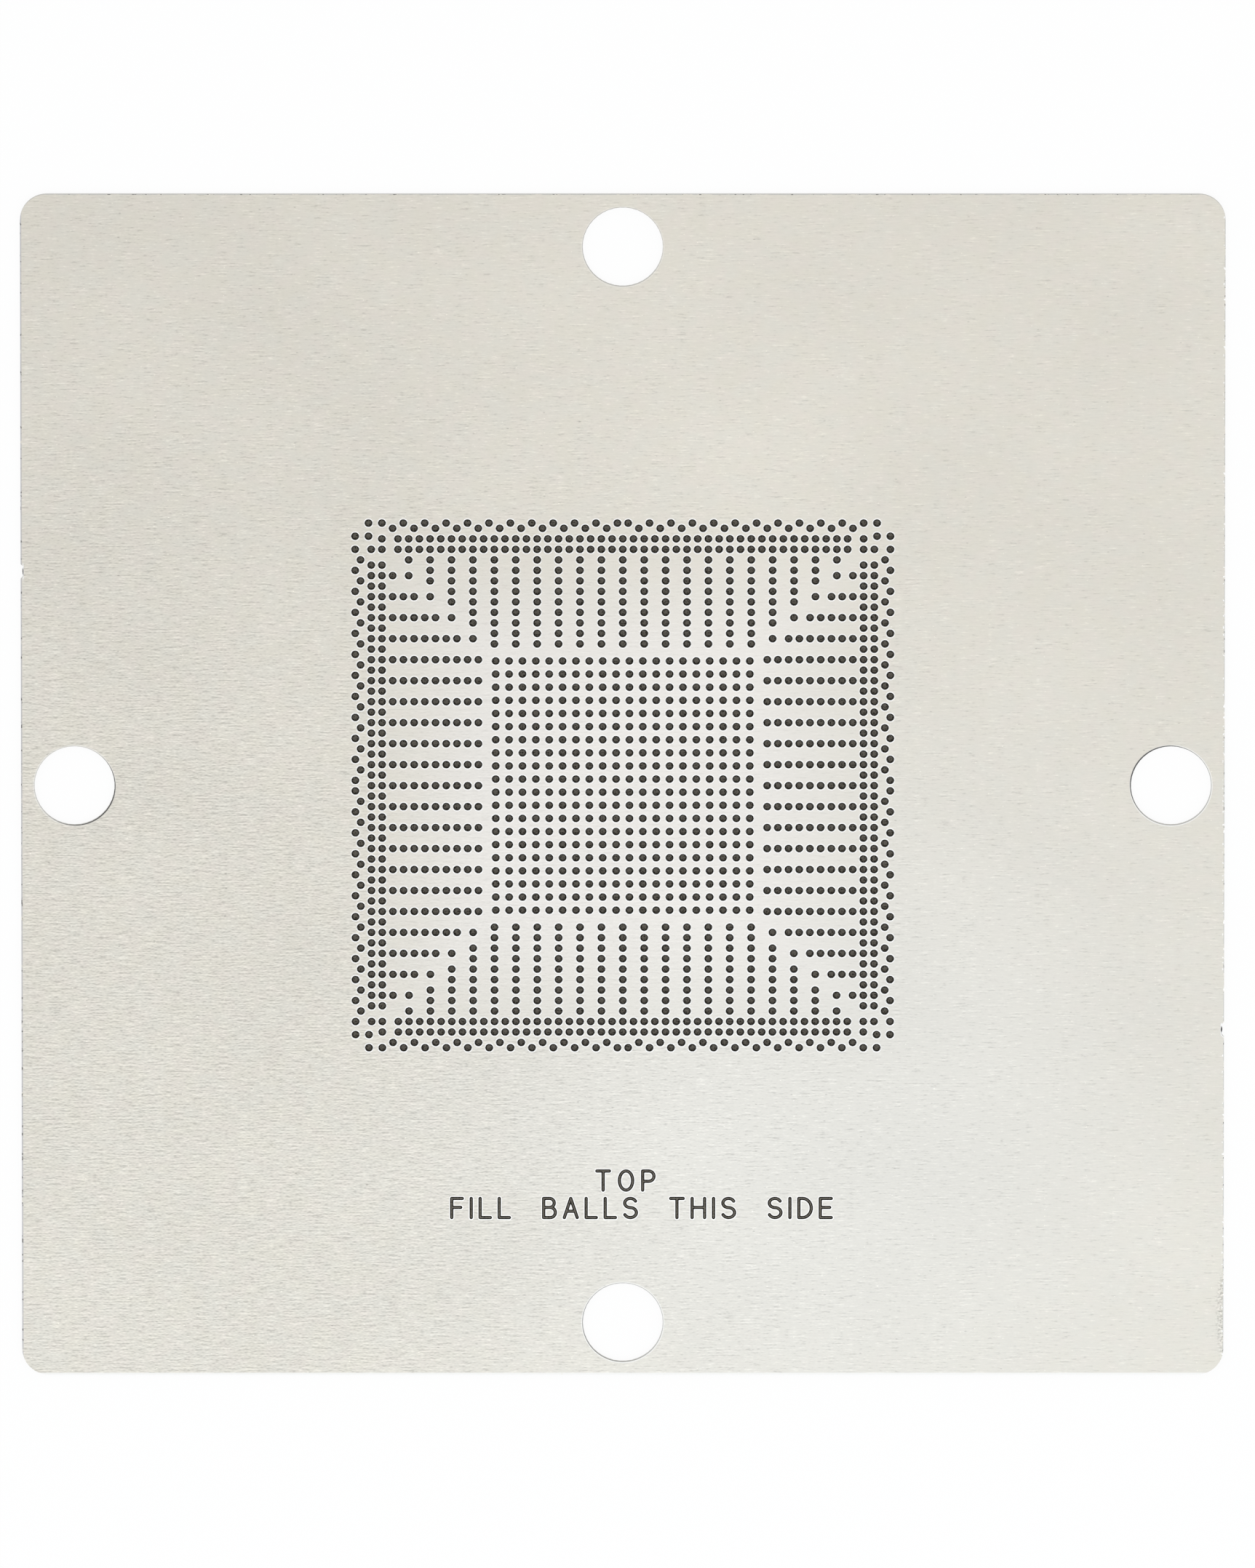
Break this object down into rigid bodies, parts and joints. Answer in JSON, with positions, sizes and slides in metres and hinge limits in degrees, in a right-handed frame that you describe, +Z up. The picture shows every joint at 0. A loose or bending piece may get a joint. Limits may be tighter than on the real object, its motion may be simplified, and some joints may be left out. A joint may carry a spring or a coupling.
{
  "type": "bga reballing stencil",
  "caption": "Thin square steel sheet with a central field of round apertures that place solder balls on a chip, and locating holes at the middle of its edges.",
  "frame": {"origin": "middle of the underside, on the surface that the sheet lies on", "axes": "+Z up out of the side that the balls are brushed over, +X to the right and +Y to the far edge, each square to an edge of the sheet"},
  "size_m": [0.09, 0.09, 0.0003],
  "materials": {
    "brushed_stainless": "fine straight brushing, satin"
  },
  "bodies": {
    "root": {"stencil_sheet": "brushed_stainless"}
  },
  "joints": []
}
